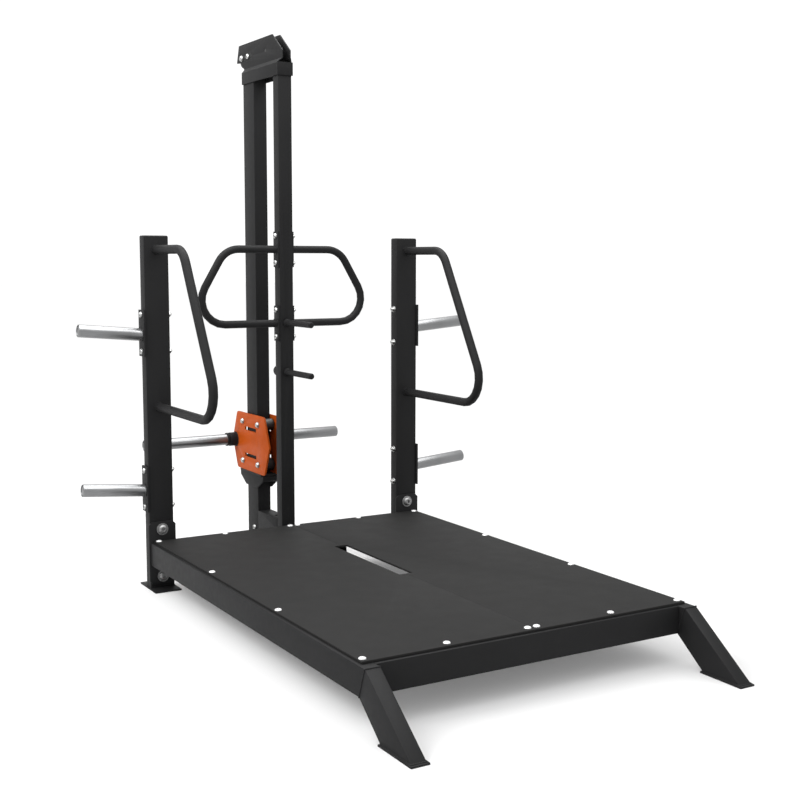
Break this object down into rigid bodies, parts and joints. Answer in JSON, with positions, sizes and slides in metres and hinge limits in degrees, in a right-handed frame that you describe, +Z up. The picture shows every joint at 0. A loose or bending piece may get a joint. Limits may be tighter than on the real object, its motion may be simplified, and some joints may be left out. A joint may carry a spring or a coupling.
{
  "type": "belt squat machine",
  "caption": "Belt squat machine: low slotted platform, side posts with grab handles and plate storage horns, and a tower with a plate-loaded carriage that slides up its rear post",
  "frame": {"origin": "centre of the whole machine's footprint box, on the floor", "axes": "+Z up; +Y from the front legs of the platform towards the tower; +X to the right of a user who faces the tower"},
  "size_m": [1.7786, 2.565, 2.258],
  "materials": {
    "black_paint": "satin powder coat",
    "deck_paint": "fine textured matt coat",
    "orange_paint": "gloss powder coat",
    "chrome": "polished",
    "zinc": "zinc plated",
    "nylon": "moulded nylon",
    "rubber": "matt"
  },
  "bodies": {
    "frame": {"side_rail_left": "black_paint", "side_rail_right": "black_paint", "leg_left": "black_paint", "leg_right": "black_paint", "leg_foot_left": "black_paint", "leg_foot_right": "black_paint", "front_rail": "black_paint", "rear_rail": "black_paint", "deck_beam_left": "black_paint", "deck_beam_right": "black_paint", "centre_beam": "black_paint", "deck_panel_left": "deck_paint", "deck_panel_right": "deck_paint", "side_post_left": "black_paint", "side_post_right": "black_paint", "post_foot_left": "black_paint", "post_foot_right": "black_paint", "post_flange_left": "black_paint", "post_flange_right": "black_paint", "side_handle_left": "black_paint", "side_handle_right": "black_paint", "storage_plate_upper_left": "black_paint", "storage_plate_lower_left": "black_paint", "storage_plate_upper_right": "black_paint", "storage_plate_lower_right": "black_paint", "storage_sleeve_upper_left": "chrome", "storage_sleeve_lower_left": "chrome", "storage_sleeve_upper_right": "chrome", "storage_sleeve_lower_right": "chrome", "tower_post_front": "black_paint", "tower_post_rear": "black_paint", "tower_base": "black_paint", "top_bracket_left": "black_paint", "top_bracket_right": "black_paint", "front_handle_left": "black_paint", "front_handle_right": "black_paint", "belt_peg_upper": "black_paint", "belt_peg_lower": "black_paint", "top_axle_rear": "zinc", "slot_pulley_bracket": "black_paint", "stop_bracket": "black_paint", "stop_bumper": "rubber"},
    "carriage": {"carriage_plate_left": "orange_paint", "carriage_plate_right": "orange_paint", "horn_stub_left": "black_paint", "horn_stub_right": "black_paint", "carriage_sleeve_left": "chrome", "carriage_sleeve_right": "chrome", "roller_axle_front_upper": "zinc", "roller_axle_front_lower": "zinc", "roller_axle_rear_upper": "zinc", "roller_axle_rear_lower": "zinc"},
    "roller_front_upper": {"roller_front_upper": "nylon"},
    "roller_front_lower": {"roller_front_lower": "nylon"},
    "roller_rear_upper": {"roller_rear_upper": "nylon"},
    "roller_rear_lower": {"roller_rear_lower": "nylon"},
    "top_pulley_front": {"top_pulley_front": "nylon"},
    "top_pulley_rear": {"top_pulley_rear": "nylon"},
    "base_pulley": {"base_pulley": "nylon"},
    "slot_pulley": {"slot_pulley": "nylon"}
  },
  "joints": [
    {"name": "carriage_slide", "type": "slide", "parent": "frame", "child": "carriage", "axis": [0, 0, 1], "range_m": [0, 1.4]},
    {"name": "roller_front_upper_spin", "type": "hinge", "parent": "carriage", "child": "roller_front_upper", "pos_m": [0, 1.0032, 0.604], "axis": [1, 0, 0], "continuous": true},
    {"name": "roller_front_lower_spin", "type": "hinge", "parent": "carriage", "child": "roller_front_lower", "pos_m": [0, 1.0032, 0.426], "axis": [1, 0, 0], "continuous": true},
    {"name": "roller_rear_upper_spin", "type": "hinge", "parent": "carriage", "child": "roller_rear_upper", "pos_m": [0, 1.1658, 0.604], "axis": [1, 0, 0], "continuous": true},
    {"name": "roller_rear_lower_spin", "type": "hinge", "parent": "carriage", "child": "roller_rear_lower", "pos_m": [0, 1.1658, 0.426], "axis": [1, 0, 0], "continuous": true},
    {"name": "top_pulley_front_spin", "type": "hinge", "parent": "frame", "child": "top_pulley_front", "pos_m": [0, 0.9275, 2.2], "axis": [1, 0, 0], "continuous": true},
    {"name": "top_pulley_rear_spin", "type": "hinge", "parent": "frame", "child": "top_pulley_rear", "pos_m": [0, 1.1735, 2.2], "axis": [1, 0, 0], "continuous": true},
    {"name": "base_pulley_spin", "type": "hinge", "parent": "frame", "child": "base_pulley", "pos_m": [0, 0.8595, 0.109], "axis": [1, 0, 0], "continuous": true},
    {"name": "slot_pulley_spin", "type": "hinge", "parent": "frame", "child": "slot_pulley", "pos_m": [0, 0.2695, 0.109], "axis": [1, 0, 0], "continuous": true}
  ],
  "couplings": [
    {"joint": "roller_front_upper_spin", "follows": "carriage_slide", "rad_per_m": -38.462},
    {"joint": "roller_front_lower_spin", "follows": "carriage_slide", "rad_per_m": -38.462},
    {"joint": "roller_rear_upper_spin", "follows": "carriage_slide", "rad_per_m": 38.462},
    {"joint": "roller_rear_lower_spin", "follows": "carriage_slide", "rad_per_m": 38.462},
    {"joint": "top_pulley_front_spin", "follows": "carriage_slide", "rad_per_m": 29.412},
    {"joint": "top_pulley_rear_spin", "follows": "carriage_slide", "rad_per_m": 29.412},
    {"joint": "base_pulley_spin", "follows": "carriage_slide", "rad_per_m": -29.412},
    {"joint": "slot_pulley_spin", "follows": "carriage_slide", "rad_per_m": -29.412}
  ]
}
